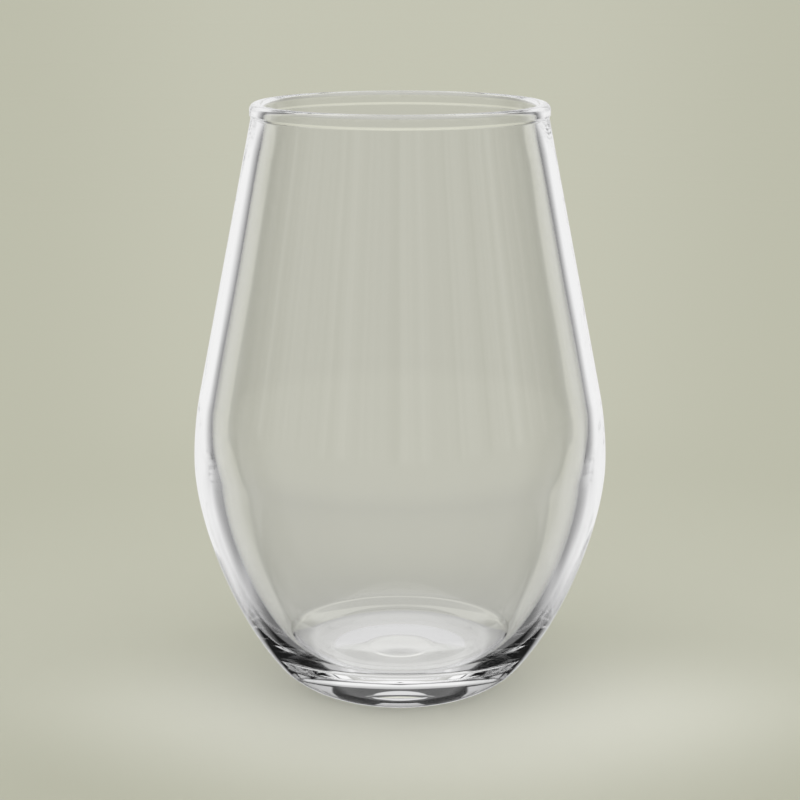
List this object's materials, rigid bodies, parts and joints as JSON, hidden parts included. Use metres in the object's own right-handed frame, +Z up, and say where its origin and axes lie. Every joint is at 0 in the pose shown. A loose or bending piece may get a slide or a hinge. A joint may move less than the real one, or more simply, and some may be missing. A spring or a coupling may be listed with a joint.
{
  "type": "stemless wine glass",
  "caption": "Clear stemless wine glass with a rounded belly, a straight taper to a fire-polished rim bead and a heavy base with a shallow hollow under it.",
  "frame": {"origin": "on the axis, at the plane of the flat ring that the glass stands on", "axes": "+Z up along the glass's axis of rotation; X and Y level, with no preferred direction"},
  "size_m": [0.088, 0.088, 0.126],
  "materials": {
    "glass": "fire-polished clear soda-lime glass"
  },
  "bodies": {
    "root": {"rim_bead": "glass", "upper_wall": "glass", "lower_wall": "glass", "base": "glass"}
  },
  "joints": []
}
